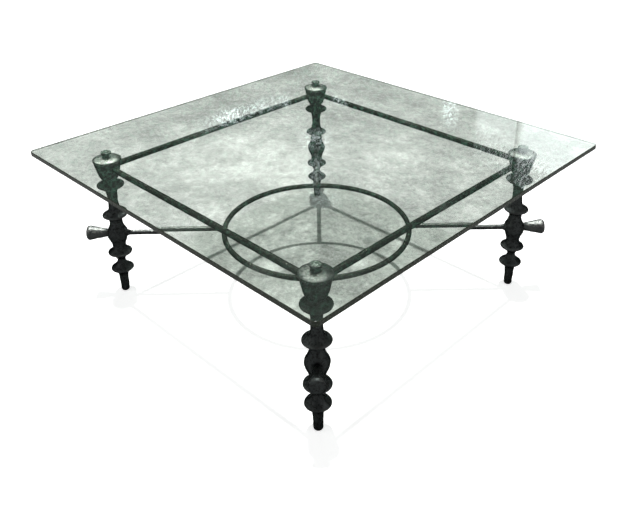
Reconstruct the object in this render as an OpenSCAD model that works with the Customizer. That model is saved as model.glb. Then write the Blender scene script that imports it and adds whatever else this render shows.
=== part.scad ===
// Square glass coffee table on a wrought iron base.
// Four turned posts stand at the corners. Top rails socket into a cup on each post.
// A round stretcher runs from each post's hub to a ring in the middle.
// Millimetres, +Z up, origin on the floor under the middle of the glass.

/* [Glass top] */
// side of the square glass
glass_side = 1067; // [960:1:1200]
// thickness of the glass
glass_t = 12.7; // [8:0.1:19]
// radius of the glass's corners
glass_corner_r = 12; // [6:1:40]
// flat ground on the glass's sharp edges
glass_arris = 1.2; // [0.5:0.1:3]

/* [Clear bumpers] */
// diameter of the clear disc between iron and glass
bumper_d = 21; // [12:0.5:26]
// thickness of the clear disc
bumper_t = 1.5; // [1:0.1:4]

/* [Bearers under the glass] */
// diameter of the flat head
bearer_head_d = 27.5; // [24:0.5:40]
// thickness of the flat head
bearer_head_t = 4.5; // [3:0.1:8]
// radius round the head's upper edge
bearer_edge_r = 1.2; // [0.4:0.1:1.4]
// diameter of the stem between lid and head
bearer_stem_d = 20.5; // [16:0.5:23]
// height of the stem
bearer_stem_h = 9.7; // [6:0.1:30]
// diameter of the screwed shank that holds the lid and cup down
bearer_shank_d = 10; // [6:0.5:12]
// length of the shank held in the post
bearer_hold = 24; // [12:1:30]

/* [Lids] */
// diameter of the lid
lid_d = 74.6; // [60:0.2:80]
// upright edge of the lid
lid_edge_h = 2.5; // [1.5:0.1:6]
// rise of the dome above the edge
lid_rise = 5.5; // [2:0.1:14]
// diameter of the flat that the stem stands on
lid_land_d = 24; // [23:0.5:32]
// diameter of the step that centres the lid in the cup
lid_step_d = 54; // [48:0.5:57]
// depth of that step
lid_step_h = 4; // [2:0.2:5]

/* [Cups] */
// height of the cup
cup_h = 54; // [44:0.2:70]
// diameter of the cup's foot
cup_foot_d = 42; // [36:0.5:50]
// diameter at the cup's mouth
cup_mouth_d = 72.8; // [64:0.2:78]
// how quickly the cup swells above its foot
cup_swell = 0.6; // [0.4:0.05:1]
// radius of the bead round the mouth
cup_lip_r = 2.2; // [1:0.1:3]
// thickness of the cup's floor
cup_floor = 9; // [5:0.5:14]
// inside diameter just above the floor
cup_well_d = 38; // [30:0.5:40]

/* [Posts] */
// distance of each post from the middle, along X and along Y
post_at = 392; // [340:1:440]
// height of the shoulder that carries the cup
post_h = 349.6; // [340:0.2:400]
// radius of the bar that the beads grow from, at the floor
core_r = 11.1; // [9:0.1:12]
// growth of the bar's radius over the whole height
core_growth = 1.2; // [0:0.1:3]
// radius of the flat end that meets the floor
foot_flat_r = 5.5; // [3:0.1:7]
// height of the rounded foot end
foot_round_h = 7; // [3:0.5:12]
// height and swell of the lowest bead
bead1_z = 76.5; // [70:0.5:84]
bead1_out = 19; // [12:0.5:24]
// half width of the lowest bead
bead1_w = 8.8; // [6:0.2:11]
// height and swell of the second bead
bead2_z = 128.8; // [122:0.5:134]
bead2_out = 18.9; // [12:0.1:24]
// half width of the second bead
bead2_w = 7.6; // [6:0.2:10]
// height and swell of the third bead
bead3_z = 247; // [240:0.5:256]
bead3_out = 19.9; // [12:0.1:24]
// half width of the third bead
bead3_w = 7.6; // [6:0.2:10]
// height and swell of the bead under the cup
bead4_z = 330; // [322:0.5:336]
bead4_out = 23.6; // [12:0.1:26]
// half width of the bead under the cup
bead4_w = 8.6; // [6:0.2:10]
// swell of the hub that the stretcher passes through
hub_out = 16.6; // [14:0.1:20]
// half width of the hub above the stretcher
hub_up = 21; // [18:0.5:24]
// half width of the hub below the stretcher
hub_down = 27; // [22:0.5:30]
// how much the bar narrows between the two lowest beads
waist_in = 3.9; // [0:0.1:6]
// half width of that narrow place
waist_w = 8; // [5:0.5:12]
// diameter of the spigot that enters the cup
spigot_d = 18; // [15:0.5:24]
// height of the spigot
spigot_h = 20; // [14:0.5:21]
// how far the hub's two flat lands stand from the post's middle
hub_land = 23.5; // [21:0.1:24.5]

/* [Rails] */
// diameter of the four rails under the glass
rail_d = 16; // [12:0.5:18]
// drop of the rails' middle below the cup's mouth
rail_drop = 20; // [15.5:0.5:23]

/* [Stretchers and finials] */
// height of the stretchers, the ring and the hubs
stretcher_z = 189; // [180:0.5:196]
// diameter of the stretchers
stretcher_d = 12.7; // [10:0.1:16]
// diameter of the collar that seats on the hub
collar_d = 26; // [20:0.5:27]
// length over which the collar runs out to the bar
collar_l = 14; // [8:0.5:24]
// diameter of the turned end that goes through the hub
stretcher_end_d = 10; // [7:0.1:11]
// length of the turned end held in the finial
finial_hold = 26; // [12:1:36]
// length of the flared finial beyond the hub's land
finial_l = 60; // [50:0.5:80]
// diameter of the finial's base on the hub
finial_base_d = 21; // [18:0.5:26]
// widest diameter of the flare
finial_end_d = 40.8; // [34:0.2:46]
// how far the finial's end rounds in from its widest place
finial_round_in = 6; // [3:0.5:9]
// length over which the end rounds in
finial_round_l = 8; // [4:0.5:12]
// height of the low dome that closes the finial's end
finial_dome = 1; // [0.5:0.1:4]

/* [Middle ring] */
// radius of the ring to the middle of its bar
ring_r = 256; // [200:1:280]
// diameter of the ring's bar
ring_d = 14.5; // [11:0.1:16]
// diameter of the tenon that enters the ring
tenon_d = 7; // [4:0.1:8]
// length of the tenon past the ring's outside
tenon_l = 8; // [4:0.5:9]

/* [Fits] */
// gap left for brazing or thread round each end that enters another piece
fit = 0.1; // [0.05:0.01:0.25]
// free length beyond the end of each blind hole
end_room = 3; // [1:0.5:5]
// clearance between the rails' ends and whatever stands in the cup
rail_room = 2.5; // [1:0.1:4]

/* [Hidden] */
// node to draw
$fn = 96;
iron = [0.15, 0.17, 0.155];
clear = [0.82, 0.9, 0.86, 0.5];
cup_z = post_h;
mouth_z = cup_z + cup_h;
land_z = mouth_z + lid_edge_h + lid_rise;
head_z = land_z + bearer_stem_h;
bumper_z = head_z + bearer_head_t;
glass_z = bumper_z + bumper_t;
rail_z = mouth_z - rail_drop;
rail_end = max(rail_d, bearer_shank_d) / 2 + rail_room;
spigot_top = post_h + spigot_h;
hold_z = spigot_top - bearer_hold;
waist_z = (bead1_z + bead2_z) / 2;
post_to_middle = post_at * sqrt(2);
ring_out = post_to_middle - ring_r - ring_d / 2;
slice = 2.5;

// puts a piece on a corner of the table, with its own +X towards the middle
module at_corner(sx, sy) {
    translate([sx * post_at, sy * post_at, 0])
        rotate([0, 0, atan2(-sy, -sx)])
            children();
}

// a bead's swell at height z: proud at its middle, running out softly above and below
function swell(z, at, out, w, sharp) = out / (1 + pow(abs(z - at) / w, sharp));

// radius of the turned post at height z
function post_r(z) =
    core_r + core_growth * z / post_h
    + swell(z, bead1_z, bead1_out, bead1_w, 2.3)
    + swell(z, bead2_z, bead2_out, bead2_w, 2.3)
    + swell(z, stretcher_z, hub_out, z > stretcher_z ? hub_up : hub_down, 2.4)
    + swell(z, bead3_z, bead3_out, bead3_w, 2.3)
    + swell(z, bead4_z, bead4_out, bead4_w, 2.3)
    - swell(z, waist_z, waist_in, waist_w, 3);

// one turned post with its rounded foot, hub lands, cross hole and spigot
module post() {
    foot_r = post_r(foot_round_h);
    steps = floor((post_h - foot_round_h) / slice);
    difference() {
        union() {
            rotate_extrude()
                polygon(concat(
                    [[0, 0]],
                    [for (a = [0:15:75]) [
                        foot_flat_r + (foot_r - foot_flat_r) * sin(a),
                        foot_round_h * (1 - cos(a))
                    ]],
                    [for (i = [0:steps - 1]) [post_r(foot_round_h + i * slice), foot_round_h + i * slice]],
                    [[cup_foot_d / 2, post_h], [0, post_h]]
                ));
            translate([0, 0, post_h - 1])
                cylinder(d = spigot_d, h = spigot_h + 1);
        }
        for (s = [-1, 1])
            translate([s * (hub_land + 20), 0, stretcher_z])
                cube([40, 60, hub_down * 1.5], center = true);
        translate([0, 0, stretcher_z])
            rotate([0, 90, 0])
                cylinder(d = stretcher_end_d + 2 * fit, h = 80, center = true);
        translate([0, 0, hold_z - end_room])
            cylinder(d = bearer_shank_d + 2 * fit, h = bearer_hold + end_room + 1);
    }
}

// outside radius of the cup at the share u of its height
function cup_r(u) = cup_foot_d / 2 + (cup_mouth_d - cup_foot_d) / 2 * pow(u, cup_swell);

// one turned cup: hollow, with a floor on the post's shoulder and two side holes for the rails
module cup() {
    inner_top = lid_step_d / 2 + fit;
    difference() {
        union() {
            translate([0, 0, cup_z])
                rotate_extrude()
                    polygon(concat(
                        [[0, 0]],
                        [for (u = [0, 0.02, 0.06, 0.12, 0.2, 0.3, 0.42, 0.56, 0.7, 0.85, 1]) [cup_r(u), u * cup_h]],
                        [[0, cup_h]]
                    ));
            translate([0, 0, mouth_z - cup_lip_r])
                rotate_extrude()
                    translate([cup_mouth_d / 2 - cup_lip_r * 0.6, 0])
                        circle(r = cup_lip_r, $fn = 32);
        }
        translate([0, 0, cup_z - 1])
            cylinder(d = spigot_d + 2 * fit, h = cup_floor + 2);
        translate([0, 0, cup_z + cup_floor])
            cylinder(d1 = cup_well_d, d2 = lid_step_d, h = cup_h - cup_floor - lid_step_h);
        translate([0, 0, mouth_z - lid_step_h - fit])
            cylinder(r = inner_top, h = lid_step_h + fit + 1);
        for (a = [-45, 45])
            translate([0, 0, rail_z])
                rotate([0, 0, a])
                    rotate([0, 90, 0])
                        cylinder(d = rail_d + 2 * fit, h = cup_mouth_d);
    }
}

// one domed lid, with a centring step below and a flat land on top
module lid() {
    land_r = lid_land_d / 2;
    rim_r = lid_d / 2;
    translate([0, 0, mouth_z])
        difference() {
            rotate_extrude()
                polygon(concat(
                    [[0, -lid_step_h], [lid_step_d / 2, -lid_step_h], [lid_step_d / 2, 0], [rim_r - 0.8, 0], [rim_r, 0.8]],
                    [for (i = [0:8]) let (u = i / 8) [
                        rim_r - (rim_r - land_r) * u,
                        lid_edge_h + lid_rise * (1 - pow(1 - u, 2))
                    ]],
                    [[0, lid_edge_h + lid_rise]]
                ));
            translate([0, 0, -lid_step_h - 1])
                cylinder(d = bearer_shank_d + 2 * fit, h = lid_step_h + lid_edge_h + lid_rise + 2);
        }
}

// one bearer: flat head, stem on the lid's land, and a shank down into the post
module bearer() {
    head_r = bearer_head_d / 2;
    translate([0, 0, hold_z])
        cylinder(d = bearer_shank_d, h = land_z - hold_z + 1);
    translate([0, 0, land_z])
        cylinder(d = bearer_stem_d, h = bearer_stem_h + 1);
    translate([0, 0, head_z])
        rotate_extrude()
            polygon(concat(
                [[0, 0], [head_r - bearer_edge_r, 0]],
                [for (a = [-90:22.5:0]) [
                    head_r - bearer_edge_r + bearer_edge_r * cos(a),
                    bearer_edge_r + bearer_edge_r * sin(a)
                ]],
                [for (a = [0:22.5:90]) [
                    head_r - bearer_edge_r + bearer_edge_r * cos(a),
                    bearer_head_t - bearer_edge_r + bearer_edge_r * sin(a)
                ]],
                [[0, bearer_head_t]]
            ));
}

// one rail along X at y = 0, held at both ends in the cups
module rail() {
    half = post_at - rail_end;
    translate([-half, 0, rail_z])
        rotate([0, 90, 0])
            cylinder(d = rail_d, h = 2 * half);
}

// one stretcher from the finial, through the hub and its collar, to the ring
module stretcher() {
    difference() {
        union() {
            translate([-hub_land - finial_hold, 0, stretcher_z])
                rotate([0, 90, 0])
                    cylinder(d = stretcher_end_d, h = 2 * hub_land + finial_hold + 1);
            translate([hub_land, 0, stretcher_z])
                rotate([0, 90, 0])
                    rotate_extrude()
                        polygon(concat(
                            [[0, 0]],
                            [for (i = [0:8]) let (u = i / 8) [
                                stretcher_d / 2 + (collar_d - stretcher_d) / 2 * pow(1 - u, 2.2),
                                collar_l * u
                            ]],
                            [[stretcher_d / 2, collar_l + 4], [0, collar_l + 4]]
                        ));
            translate([hub_land + collar_l, 0, stretcher_z])
                rotate([0, 90, 0])
                    cylinder(d = stretcher_d, h = ring_out + ring_d / 2 - hub_land - collar_l);
        }
        translate([post_to_middle, 0, stretcher_z])
            rotate_extrude()
                translate([ring_r, 0])
                    circle(d = ring_d + 2 * fit, $fn = 48);
        translate([ring_out + ring_d / 2, -20, stretcher_z - 20])
            cube([40, 40, 40]);
    }
    translate([ring_out - 6, 0, stretcher_z])
        rotate([0, 90, 0])
            cylinder(d = tenon_d, h = 6 + tenon_l);
}

// one flared finial, screwed on the stretcher's end and seated on the hub's outer land
module finial() {
    base_r = finial_base_d / 2;
    end_r = finial_end_d / 2;
    flare_l = finial_l - finial_dome - finial_round_l;
    translate([-hub_land, 0, stretcher_z])
        rotate([0, -90, 0])
            difference() {
                rotate_extrude()
                    polygon(concat(
                        [[0, 0]],
                        [for (i = [0:12]) let (u = i / 12) [
                            base_r + (end_r - base_r) * pow(u, 1.05),
                            flare_l * u
                        ]],
                        [for (a = [15:15:90]) [
                            end_r - finial_round_in * (1 - cos(a)),
                            flare_l + finial_round_l * sin(a)
                        ]],
                        [[end_r * 0.45, finial_l - finial_dome * 0.25], [0, finial_l]]
                    ));
                translate([0, 0, -1])
                    cylinder(d = stretcher_end_d + 2 * fit, h = finial_hold + end_room + 1);
            }
}

// the square glass: two crossed slabs and four round corners share one ground edge
module glass_top() {
    half = glass_side / 2;
    inner = half - glass_corner_r;
    edge = [
        [half, glass_arris], [half, glass_t - glass_arris],
        [half - glass_arris, glass_t], [-half + glass_arris, glass_t],
        [-half, glass_t - glass_arris], [-half, glass_arris],
        [-half + glass_arris, 0], [half - glass_arris, 0]
    ];
    corner = [
        [0, 0], [glass_corner_r - glass_arris, 0], [glass_corner_r, glass_arris],
        [glass_corner_r, glass_t - glass_arris], [glass_corner_r - glass_arris, glass_t], [0, glass_t]
    ];
    color(clear)
        translate([0, 0, glass_z]) {
            for (turn = [0, 90])
                rotate([0, 0, turn])
                    rotate([90, 0, 0])
                        linear_extrude(height = 2 * inner, center = true)
                            polygon(edge);
            for (sx = [-1, 1], sy = [-1, 1])
                translate([sx * inner, sy * inner, 0])
                    rotate_extrude()
                        polygon(corner);
        }
}

// four clear discs, one on each bearer's head
module glass_bumpers() {
    color(clear)
        for (sx = [-1, 1], sy = [-1, 1])
            translate([sx * post_at, sy * post_at, bumper_z])
                cylinder(d = bumper_d, h = bumper_t);
}

// the round bar ring, drilled from outside for the four tenons
module centre_ring() {
    color(iron)
        difference() {
            translate([0, 0, stretcher_z])
                rotate_extrude()
                    translate([ring_r, 0])
                        circle(d = ring_d, $fn = 48);
            for (sx = [-1, 1], sy = [-1, 1])
                at_corner(sx, sy)
                    translate([ring_out - 2, 0, stretcher_z])
                        rotate([0, 90, 0])
                            cylinder(d = tenon_d + 2 * fit, h = 2 + tenon_l + end_room / 3);
        }
}

module bearer_front() color(iron) at_corner(1, -1) bearer();
module bearer_right() color(iron) at_corner(1, 1) bearer();
module bearer_back() color(iron) at_corner(-1, 1) bearer();
module bearer_left() color(iron) at_corner(-1, -1) bearer();
module lid_front() color(iron) at_corner(1, -1) lid();
module lid_right() color(iron) at_corner(1, 1) lid();
module lid_back() color(iron) at_corner(-1, 1) lid();
module lid_left() color(iron) at_corner(-1, -1) lid();
module cup_front() color(iron) at_corner(1, -1) cup();
module cup_right() color(iron) at_corner(1, 1) cup();
module cup_back() color(iron) at_corner(-1, 1) cup();
module cup_left() color(iron) at_corner(-1, -1) cup();
module post_front() color(iron) at_corner(1, -1) post();
module post_right() color(iron) at_corner(1, 1) post();
module post_back() color(iron) at_corner(-1, 1) post();
module post_left() color(iron) at_corner(-1, -1) post();
module rail_front_left() color(iron) translate([0, -post_at, 0]) rail();
module rail_front_right() color(iron) translate([post_at, 0, 0]) rotate([0, 0, 90]) rail();
module rail_back_right() color(iron) translate([0, post_at, 0]) rail();
module rail_back_left() color(iron) translate([-post_at, 0, 0]) rotate([0, 0, 90]) rail();
module stretcher_front() color(iron) at_corner(1, -1) stretcher();
module stretcher_right() color(iron) at_corner(1, 1) stretcher();
module stretcher_back() color(iron) at_corner(-1, 1) stretcher();
module stretcher_left() color(iron) at_corner(-1, -1) stretcher();
module finial_front() color(iron) at_corner(1, -1) finial();
module finial_right() color(iron) at_corner(1, 1) finial();
module finial_back() color(iron) at_corner(-1, 1) finial();
module finial_left() color(iron) at_corner(-1, -1) finial();

glass_top();
glass_bumpers();
centre_ring();
bearer_front();
bearer_right();
bearer_back();
bearer_left();
lid_front();
lid_right();
lid_back();
lid_left();
cup_front();
cup_right();
cup_back();
cup_left();
post_front();
post_right();
post_back();
post_left();
rail_front_left();
rail_front_right();
rail_back_right();
rail_back_left();
stretcher_front();
stretcher_right();
stretcher_back();
stretcher_left();
finial_front();
finial_right();
finial_back();
finial_left();
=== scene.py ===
import bpy
import numpy as np
from mathutils import Matrix


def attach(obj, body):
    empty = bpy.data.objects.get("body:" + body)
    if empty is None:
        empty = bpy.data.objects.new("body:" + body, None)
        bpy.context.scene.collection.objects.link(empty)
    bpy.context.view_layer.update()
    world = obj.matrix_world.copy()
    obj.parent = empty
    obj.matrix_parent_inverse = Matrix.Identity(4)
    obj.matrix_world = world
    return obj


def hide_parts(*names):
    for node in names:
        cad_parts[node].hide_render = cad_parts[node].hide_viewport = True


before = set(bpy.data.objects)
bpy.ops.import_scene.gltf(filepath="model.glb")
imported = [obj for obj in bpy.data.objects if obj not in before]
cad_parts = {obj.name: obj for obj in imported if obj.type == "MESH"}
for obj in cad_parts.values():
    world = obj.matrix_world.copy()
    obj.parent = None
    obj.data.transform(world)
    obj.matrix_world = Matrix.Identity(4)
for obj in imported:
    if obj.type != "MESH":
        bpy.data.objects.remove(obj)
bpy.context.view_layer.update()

# The four posts. Each is one wrought iron bar with four thin beads and a swollen hub, forged and
# turned by hand, so no line on it is quite true. It stands on a rounded peg foot and carries a cup.
# Sizes are in millimetres from here on. A bead is its height, how far it stands out, half its width.
POST_AT, POST_H = 392.0, 349.6
CORE_R, CORE_GROWTH = 11.1, 1.2
FOOT_FLAT_R, FOOT_ROUND_H = 5.5, 7.0
BEADS = [(76.5, 19.0, 8.8), (128.8, 18.9, 7.6), (247.0, 19.9, 7.6), (330.0, 23.6, 8.6)]
HUB_Z, HUB_OUT, HUB_UP, HUB_DOWN = 189.0, 16.6, 21.0, 27.0
HUB_LAND, LAND_HALF = 23.5, 24.0
WAIST_Z, WAIST_IN, WAIST_W = 102.65, 3.9, 8.0
SHAFT_END, SHOULDER_Z, SHOULDER_R = 347.5, [348.6, 349.3, POST_H], [17.6, 19.8, 20.2]
# the waves of hand work are this high, and fade out towards the foot, the shoulder and the axis
POST_SIDES, POST_WAVE, FOOT_FADE, SHOULDER_FADE, AXIS_FADE = 84, 0.45, 10.0, 6.0, 6.0
CREST_FROM, CREST_OVER, CREST_WORN = 26.0, 6.0, 0.1
CORNERS = {"front": (1, -1), "right": (1, 1), "back": (-1, 1), "left": (-1, -1)}


def linear(code):
    """An sRGB hex code as linear red, green, blue and 1."""
    shares = np.array([int(code[at:at + 2], 16) for at in (1, 3, 5)]) / 255
    shares = np.where(shares <= 0.04045, shares / 12.92, ((shares + 0.055) / 1.055) ** 2.4)
    return (*shares.tolist(), 1.0)


def add(tree, kind, inputs=None, **settings):
    """Adds one node: settings go on the node, inputs are numbers, colours or links by socket. A Map
    Range node's sockets are 0 the value, 1 and 2 the range it comes from, 3 and 4 the range it goes
    to. A Mix node's sockets 6 and 7 are its two colours."""
    made = tree.nodes.new(kind)
    for name, value in settings.items():
        setattr(made, name, value)
    for name, value in (inputs or {}).items():
        if isinstance(value, bpy.types.NodeSocket):
            tree.links.new(value, made.inputs[name])
        else:
            made.inputs[name].default_value = value
    return made


def blank_finish(name):
    """A new finish with no nodes yet, and its node tree."""
    finish = bpy.data.materials.new(name)
    finish.use_nodes = True
    finish.node_tree.nodes.clear()
    return finish, finish.node_tree


def stand(name, data):
    """Puts a mesh, a lamp's light or a camera's data in the scene as an object at the origin."""
    piece = bpy.data.objects.new(name, data)
    bpy.context.scene.collection.objects.link(piece)
    return piece


def skin(name, grid, shut=True, wear_and_sheen=None):
    """A closed mesh from a grid of points in mm. Columns wrap round. The end rows are closed by a
    fan to their middle, or with shut=False the rows wrap round too. The last argument, a number for
    each row or for each point, tells the finish how much paler, glossier metal to show there: wear
    by hands and cloths, and on some pieces partly a painted sheen."""
    rows, cols = grid.shape[:2]
    row = np.arange(rows - 1 if shut else rows)[:, None]
    col = np.arange(cols)[None, :]
    here, over = row * cols, (row + 1) % rows * cols
    quads = np.stack([here + col, here + (col + 1) % cols, over + (col + 1) % cols, over + col], -1)
    points, loops, sizes = grid.reshape(-1, 3), quads.ravel(), np.full(quads.size // 4, 4)
    wear_and_sheen = np.zeros(rows) if wear_and_sheen is None else np.asarray(wear_and_sheen)
    wear_and_sheen_points = np.broadcast_to(wear_and_sheen[:, None] if wear_and_sheen.ndim == 1 else wear_and_sheen, (rows, cols)).ravel()
    if shut:
        rim, count = np.arange(cols), rows * cols
        after = (rim + 1) % cols
        points = np.vstack([points, grid[0].mean(0), grid[-1].mean(0)])
        wear_and_sheen_points = np.append(wear_and_sheen_points, [wear_and_sheen_points[:cols].mean(), wear_and_sheen_points[-cols:].mean()])
        first = np.stack([np.full(cols, count), after, rim], -1)
        last = np.stack([np.full(cols, count + 1), count - cols + rim, count - cols + after], -1)
        loops = np.concatenate([loops, first.ravel(), last.ravel()])
        sizes = np.concatenate([sizes, np.full(2 * cols, 3)])
    mesh = bpy.data.meshes.new(name)
    mesh.vertices.add(len(points))
    mesh.vertices.foreach_set("co", (points * 0.001).astype(np.float32).ravel())
    mesh.loops.add(len(loops))
    mesh.loops.foreach_set("vertex_index", loops.astype(np.int32))
    mesh.polygons.add(len(sizes))
    mesh.polygons.foreach_set("loop_start", (np.cumsum(sizes) - sizes).astype(np.int32))
    mesh.polygons.foreach_set("use_smooth", np.ones(len(sizes), bool))
    mesh.update(calc_edges=True)
    wear_and_sheen_mask = mesh.attributes.new("wear_and_sheen", "FLOAT", "POINT")
    wear_and_sheen_mask.data.foreach_set("value", wear_and_sheen_points.astype(np.float32))
    return stand(name, mesh)


def waves(turn, along, seed, high):
    """Hand work as a height in mm: four slow waves round and along a piece, each the sine of its
    turns round times the cosine of its pitch along, with phases from a seeded table."""
    phase = np.random.default_rng(seed).uniform(0, 2 * np.pi, (4, 2))
    rounds, pitch = np.array([1, 2, 3, 5]), np.array([83.0, 47.0, 29.0, 17.0])
    both = (np.sin(turn[..., None] * rounds + phase[:, 0])
            * np.cos(2 * np.pi * along[..., None] / pitch + phase[:, 1]))
    return high * both.sum(-1) / 2


def turned(radius, height, sides, seed=0, high=0.0, fade=1.0):
    """A profile, a radius at each height, carried once round the Z axis, plus the waves of hand
    work. These fade where the radius is under 6 mm, and by fade, a share for each row."""
    turn = np.linspace(0, 2 * np.pi, sides, endpoint=False)[None, :]
    radius, height = radius[:, None], height[:, None]
    step = np.hypot(np.diff(radius, axis=0, prepend=radius[:1]), np.diff(height, axis=0, prepend=height[:1]))
    along = np.cumsum(step, axis=0) + 0 * turn
    shown = np.clip(radius / AXIS_FADE, 0, 1) * np.reshape(fade, (-1, 1))
    radius = radius + waves(turn + 0 * radius, along, seed, high) * shown
    return np.stack([radius * np.cos(turn), radius * np.sin(turn), height + 0 * turn], -1)


def at_corner(grid, corner):
    """Stands a grid on a corner of the table, with its own +X towards the table's middle."""
    side_x, side_y = CORNERS[corner]
    cosine, sine = -side_x / np.sqrt(2), -side_y / np.sqrt(2)
    x, y = grid[..., 0], grid[..., 1]
    return np.stack([cosine * x - sine * y + side_x * POST_AT,
                     sine * x + cosine * y + side_y * POST_AT, grid[..., 2]], -1)


def dress(piece, node, body, finish):
    """Puts a finish on a piece, lets it ride with its body and stand for its CAD node."""
    piece.data.materials.append(finish)
    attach(piece, body)
    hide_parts(node)


def wrought_iron(name, dark, pale):
    """Wrought iron with an oiled black green patina, forged and wire brushed. The eye gets nearly
    black satin with a green cast, clouds of browner oxide, shallow hammer facets that break up
    each highlight, fine forge scale, and paler, glossier metal where each piece asks for it: rubbed
    metal on crests and lips, and partly wear, partly a painted sheen, on the upper sides of bars,
    the bearers' heads and one side of each lid."""
    finish, tree = blank_finish(name)
    place = add(tree, "ShaderNodeTexCoord").outputs["Object"]
    # clouds of patina about 30 mm across, and darker scale spots about 6 mm across
    cloud = add(tree, "ShaderNodeTexNoise", {"Vector": place, "Scale": 33, "Detail": 3, "Roughness": 0.6})
    spots = add(tree, "ShaderNodeTexNoise", {"Vector": place, "Scale": 160, "Detail": 4, "Roughness": 0.75})
    green = add(tree, "ShaderNodeMix", {"Factor": cloud.outputs["Fac"], 6: linear(dark), 7: linear(pale)},
                data_type="RGBA")
    share = add(tree, "ShaderNodeMapRange", {0: spots.outputs["Fac"], 1: 0.48, 2: 0.62, 3: 0.0, 4: 0.8})
    brown = add(tree, "ShaderNodeMix", {
        "Factor": share.outputs[0], 6: green.outputs[2], 7: linear("#1b1a18")}, data_type="RGBA")
    # the pale metal #9c9d9b, worn through the patina and on some pieces a painted sheen, shows in
    # patches, not evenly
    wear_and_sheen = add(tree, "ShaderNodeAttribute", attribute_name="wear_and_sheen", attribute_type="GEOMETRY")
    patch = add(tree, "ShaderNodeMapRange", {0: spots.outputs["Fac"], 1: 0.42, 2: 0.6, 3: 0.15, 4: 1.0})
    wear_and_sheen_mask = add(tree, "ShaderNodeMath", {0: wear_and_sheen.outputs["Fac"], 1: patch.outputs[0]}, operation="MULTIPLY")
    colour = add(tree, "ShaderNodeMix", {
        "Factor": wear_and_sheen_mask.outputs[0], 6: brown.outputs[2], 7: linear("#9c9d9b")}, data_type="RGBA")
    rough = add(tree, "ShaderNodeMapRange", {0: spots.outputs["Fac"], 1: 0.3, 2: 0.7, 3: 0.36, 4: 0.56})
    gloss = add(tree, "ShaderNodeMath", {0: wear_and_sheen_mask.outputs[0], 1: -0.16, 2: rough.outputs[0]},
                operation="MULTIPLY_ADD")
    # hammer facets about 11 mm across, then forge scale, drawn 2 mm across so that it shows
    facets = add(tree, "ShaderNodeTexVoronoi", {"Vector": place, "Scale": 90, "Smoothness": 0.8},
                 feature="SMOOTH_F1")
    grain = add(tree, "ShaderNodeTexNoise", {"Vector": place, "Scale": 500, "Detail": 4, "Roughness": 0.7})
    dents = add(tree, "ShaderNodeBump", {
        "Height": facets.outputs["Distance"], "Strength": 0.5, "Distance": 0.0012})
    scale = add(tree, "ShaderNodeBump", {
        "Height": grain.outputs["Fac"], "Strength": 0.6, "Distance": 0.0008,
        "Normal": dents.outputs["Normal"]})
    metal = add(tree, "ShaderNodeBsdfPrincipled", {
        "Base Color": colour.outputs[2], "Metallic": 1.0, "Roughness": gloss.outputs[0],
        "Normal": scale.outputs["Normal"], "Specular Tint": linear("#7c7e7d")})
    add(tree, "ShaderNodeOutputMaterial", {"Surface": metal.outputs[0]})
    return finish


def post_radius(height):
    """The bar's radius, which grows a little upwards, plus each bead and the hub as
    out / (1 + (distance / half width) ^ sharpness), less the narrow waist between the low beads."""
    radius = CORE_R + CORE_GROWTH * height / POST_H
    for at, out, half in BEADS:
        radius = radius + out / (1 + (np.abs(height - at) / half) ** 2.3)
    hub_half = np.where(height > HUB_Z, HUB_UP, HUB_DOWN)
    radius = radius + HUB_OUT / (1 + (np.abs(height - HUB_Z) / hub_half) ** 2.4)
    return radius - WAIST_IN / (1 + (np.abs(height - WAIST_Z) / WAIST_W) ** 3)


iron = wrought_iron("Wrought iron, oiled black green patina", "#2a2b2b", "#4b4f4f")
foot = np.linspace(0, np.pi / 2, 8)[:-1]
shaft_z = np.linspace(FOOT_ROUND_H, SHAFT_END, 232)
post_z = np.concatenate([FOOT_ROUND_H * (1 - np.cos(foot)), shaft_z, SHOULDER_Z])
foot_r = FOOT_FLAT_R + (post_radius(FOOT_ROUND_H) - FOOT_FLAT_R) * np.sin(foot)
post_r = np.concatenate([foot_r, post_radius(shaft_z), SHOULDER_R])
crest = CREST_WORN * np.clip((post_r - CREST_FROM) / CREST_OVER, 0, 1) ** 2
fade = np.clip(post_z / FOOT_FADE, 0, 1) * np.clip((POST_H - post_z) / SHOULDER_FADE, 0, 1)
for number, corner in enumerate(CORNERS):
    grid = turned(post_r, post_z, POST_SIDES, 11 + number, POST_WAVE, fade)
    # the hub's two filed lands, which the collar and the finial seat on
    level = np.abs(grid[..., 2] - HUB_Z) < LAND_HALF
    grid[..., 0] = np.where(level, np.clip(grid[..., 0], -HUB_LAND, HUB_LAND), grid[..., 0])
    dress(skin("post_" + corner + "_iron", at_corner(grid, corner), wear_and_sheen=crest),
          "post_" + corner, "base", iron)

# The four cups. Each is a hollow iron cup, raised and turned, with a rolled bead round its mouth.
# It sits over the post's spigot, and two rails enter through its wall.
CUP_H, CUP_FOOT_R, CUP_GROWTH, CUP_SWELL = 54.0, 21.0, 15.4, 0.6
LIP_R, LIP_AT, LIP_WORN, LIP_WEAR_H = 2.2, 35.08, 0.15, 2.4
CUP_SIDES, CUP_WAVE, CUP_FADE_R, CUP_FADE_OVER, MOUTH_FADE = 96, 0.28, 20.0, 4.0, 8.0
MOUTH_Z = POST_H + CUP_H
rise = np.concatenate([[0.004], np.linspace(0.02, 0.2, 8), np.linspace(0.24, 0.9, 20)])
lip = np.linspace(-0.42 * np.pi, np.pi, 17)
cup_r = np.concatenate([
    [4.0, 19.4, 20.6], CUP_FOOT_R + CUP_GROWTH * rise ** CUP_SWELL,
    LIP_AT + LIP_R * np.cos(lip), [27.2, 27.1, 27.1, 26.9, 19.0, 4.0]])
cup_z = POST_H + np.concatenate([
    [0.0, 0.0, 0.25], rise * CUP_H,
    CUP_H - LIP_R + LIP_R * np.sin(lip), [53.8, 53.4, 50.0, 49.4, 9.0, 9.0]])
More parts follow.
